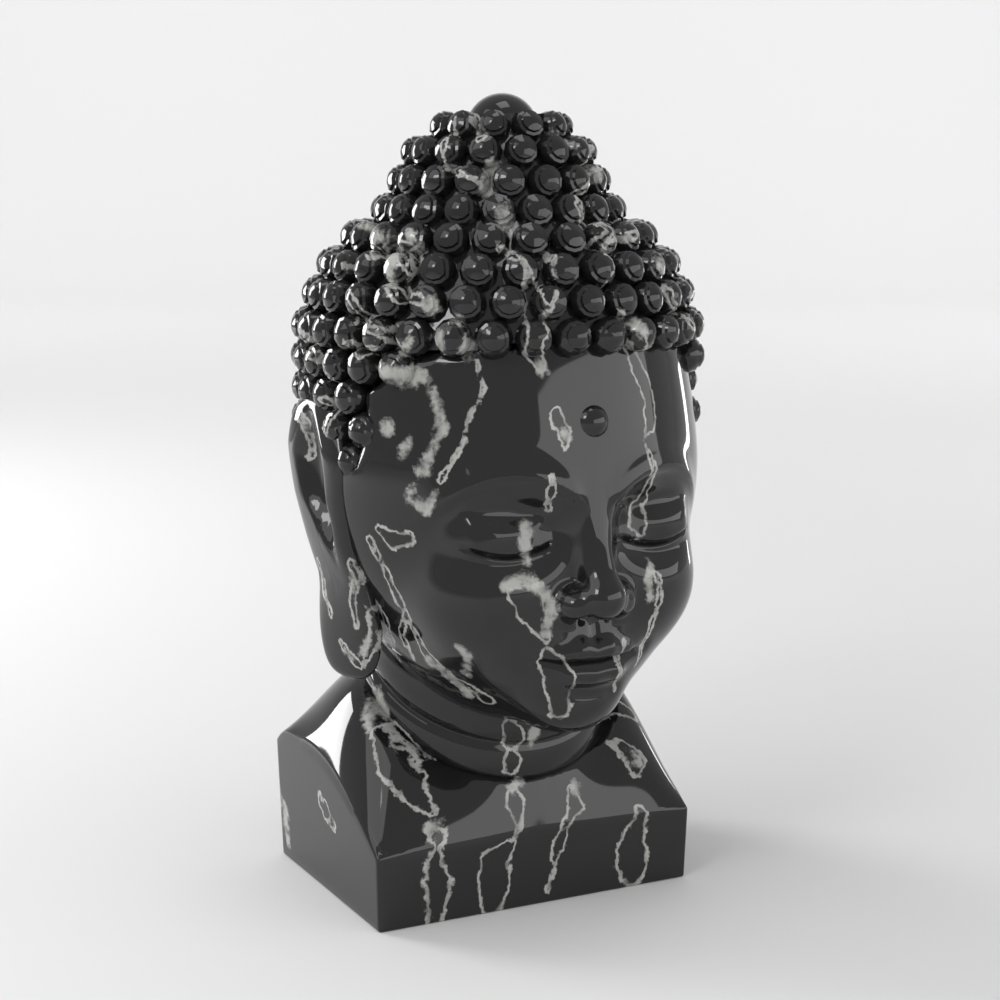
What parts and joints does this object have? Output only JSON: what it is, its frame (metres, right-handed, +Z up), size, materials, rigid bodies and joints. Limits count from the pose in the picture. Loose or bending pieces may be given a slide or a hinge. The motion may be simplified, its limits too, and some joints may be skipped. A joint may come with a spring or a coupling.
{
  "type": "resin bust",
  "caption": "Gloss black resin bust of a calm figure with snail-shell curls, a domed top-knot, long ears and a ringed neck, cast with its block base.",
  "frame": {"origin": "middle of the bounding box at its foot, on the surface that the bust stands on", "axes": "+Z up, the face looks along -Y, +X towards the figure's left ear"},
  "size_m": [0.1332, 0.14, 0.254],
  "materials": {
    "resin": "cast polyresin, black with pale grey marble veins under a gloss clear coat"
  },
  "bodies": {
    "root": {"bust": "resin"}
  },
  "joints": []
}
